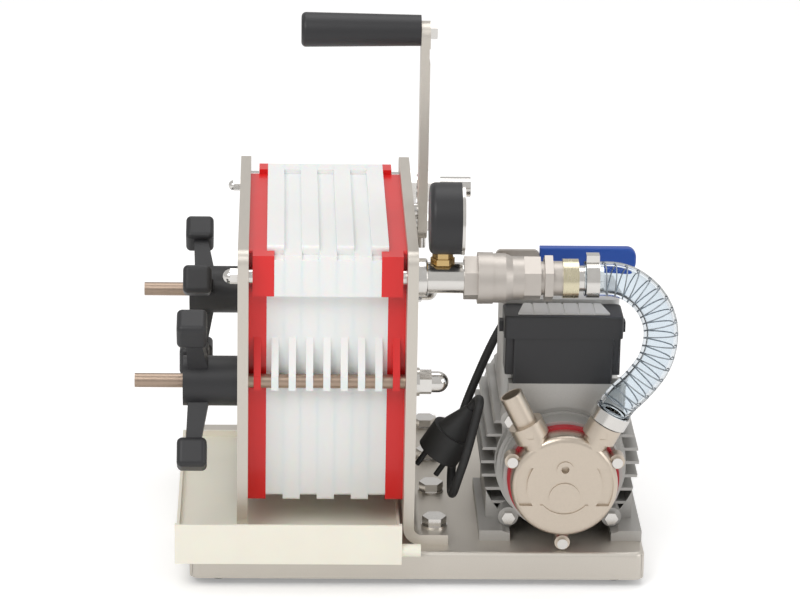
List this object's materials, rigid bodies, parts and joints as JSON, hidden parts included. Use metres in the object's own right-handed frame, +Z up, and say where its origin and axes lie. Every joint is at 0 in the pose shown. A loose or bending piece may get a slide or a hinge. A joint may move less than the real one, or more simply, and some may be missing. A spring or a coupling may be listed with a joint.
{
  "type": "plate filter press",
  "caption": "Tabletop plate filter press: a squeezed stack of filter plates on tie rods with star knobs, fed by an electric pump through a hose, valve and gauge.",
  "frame": {"origin": "middle of the overall box, on the table under the feet", "axes": "+X from the star knobs to the pump, +Y from the front to the back, +Z up"},
  "size_m": [0.4529, 0.3556, 0.4577],
  "materials": {
    "stainless": "brushed stainless sheet",
    "red_plastic": "moulded red plastic, satin",
    "white_plastic": "milky white moulded plastic",
    "black_plastic": "black moulded plastic, fine grain",
    "black_rubber": "black rubber",
    "threaded_rod": "threaded steel rod",
    "bright_nut": "bright nickel-plated",
    "nickel": "nickel-plated casting",
    "brass": "turned brass",
    "pale_brass": "nickel-washed brass",
    "blue_sleeve": "blue vinyl sleeve",
    "clear_hose": "clear flexible hose with a wire spiral",
    "motor_grey": "silver-grey cast aluminium",
    "light_grey": "light grey moulded housing",
    "red_gasket": "red gasket",
    "ivory_plastic": "ivory moulded plastic",
    "dial_face": "white dial with a black scale"
  },
  "bodies": {
    "root": {"base_pan": "stainless", "rubber_feet": "black_rubber", "frame_plate": "stainless", "foot_bolts": "bright_nut", "tie_rod_front": "threaded_rod", "tie_rod_back": "threaded_rod", "rod_acorn_nuts": "bright_nut", "end_plate_fixed": "red_plastic", "carry_bar": "stainless", "carry_grip": "black_plastic", "carry_bolts": "bright_nut", "inlet_pipe": "stainless", "gauge_stem": "brass", "gauge_case": "black_plastic", "gauge_bezel": "bright_nut", "valve_body": "nickel", "hex_nipple": "nickel", "union_nut": "pale_brass", "hose_tail": "nickel", "hose": "clear_hose", "hose_clamp_top": "bright_nut", "hose_clamp_low": "bright_nut", "outlet_tail": "stainless", "motor_body": "motor_grey", "motor_front_shield": "motor_grey", "motor_fan_cowl": "motor_grey", "motor_tie_bolts": "bright_nut", "motor_feet": "motor_grey", "motor_saddle": "motor_grey", "lid_cover": "light_grey", "terminal_box": "black_plastic", "terminal_lid": "black_plastic", "wiring_housing": "light_grey", "cord_gland": "black_plastic", "pump_adapter": "motor_grey", "pump_gasket": "red_gasket", "pump_cover": "nickel", "pump_screws": "bright_nut", "port_collars": "nickel", "suction_tail": "nickel", "discharge_tail": "nickel", "cord": "black_rubber", "plug": "black_rubber"},
    "press": {"pressing_plate": "stainless", "end_plate_moving": "red_plastic", "port_cap_nuts": "bright_nut"},
    "plate_1": {"filter_plate_1": "white_plastic"},
    "plate_2": {"filter_plate_2": "white_plastic"},
    "plate_3": {"filter_plate_3": "white_plastic"},
    "plate_4": {"filter_plate_4": "white_plastic"},
    "plate_5": {"filter_plate_5": "white_plastic"},
    "plate_6": {"filter_plate_6": "white_plastic"},
    "plate_7": {"filter_plate_7": "white_plastic"},
    "knob_front": {"knob_front": "black_plastic"},
    "knob_back": {"knob_back": "black_plastic"},
    "lever": {"valve_lever": "stainless", "lever_sleeve": "blue_sleeve"},
    "tray": {"drip_tray": "ivory_plastic"}
  },
  "joints": [
    {"name": "press_slide", "type": "slide", "parent": "root", "child": "press", "axis": [-1, 0, 0], "range_m": [0, 0.04]},
    {"name": "plate_1_slide", "type": "slide", "parent": "root", "child": "plate_1", "axis": [-1, 0, 0], "range_m": [0, 0.035]},
    {"name": "plate_2_slide", "type": "slide", "parent": "root", "child": "plate_2", "axis": [-1, 0, 0], "range_m": [0, 0.03]},
    {"name": "plate_3_slide", "type": "slide", "parent": "root", "child": "plate_3", "axis": [-1, 0, 0], "range_m": [0, 0.025]},
    {"name": "plate_4_slide", "type": "slide", "parent": "root", "child": "plate_4", "axis": [-1, 0, 0], "range_m": [0, 0.02]},
    {"name": "plate_5_slide", "type": "slide", "parent": "root", "child": "plate_5", "axis": [-1, 0, 0], "range_m": [0, 0.015]},
    {"name": "plate_6_slide", "type": "slide", "parent": "root", "child": "plate_6", "axis": [-1, 0, 0], "range_m": [0, 0.01]},
    {"name": "plate_7_slide", "type": "slide", "parent": "root", "child": "plate_7", "axis": [-1, 0, 0], "range_m": [0, 0.005]},
    {"name": "knob_front_turn", "type": "hinge", "parent": "press", "child": "knob_front", "pos_m": [-0.16, -0.1248, 0.17], "axis": [1, 0, 0], "continuous": true},
    {"name": "knob_back_turn", "type": "hinge", "parent": "press", "child": "knob_back", "pos_m": [-0.16, 0.1098, 0.17], "axis": [1, 0, 0], "continuous": true},
    {"name": "valve_lever_turn", "type": "hinge", "parent": "root", "child": "lever", "pos_m": [0.084, -0.085, 0.262], "axis": [0, -1, 0], "range_deg": [0, 90]},
    {"name": "tray_slide", "type": "slide", "parent": "root", "child": "tray", "axis": [-1, 0, 0], "range_m": [0, 0.19]}
  ],
  "couplings": [
    {"joint": "plate_1_slide", "follows": "press_slide", "ratio": 0.875},
    {"joint": "plate_2_slide", "follows": "press_slide", "ratio": 0.75},
    {"joint": "plate_3_slide", "follows": "press_slide", "ratio": 0.625},
    {"joint": "plate_4_slide", "follows": "press_slide", "ratio": 0.5},
    {"joint": "plate_5_slide", "follows": "press_slide", "ratio": 0.375},
    {"joint": "plate_6_slide", "follows": "press_slide", "ratio": 0.25},
    {"joint": "plate_7_slide", "follows": "press_slide", "ratio": 0.125}
  ]
}
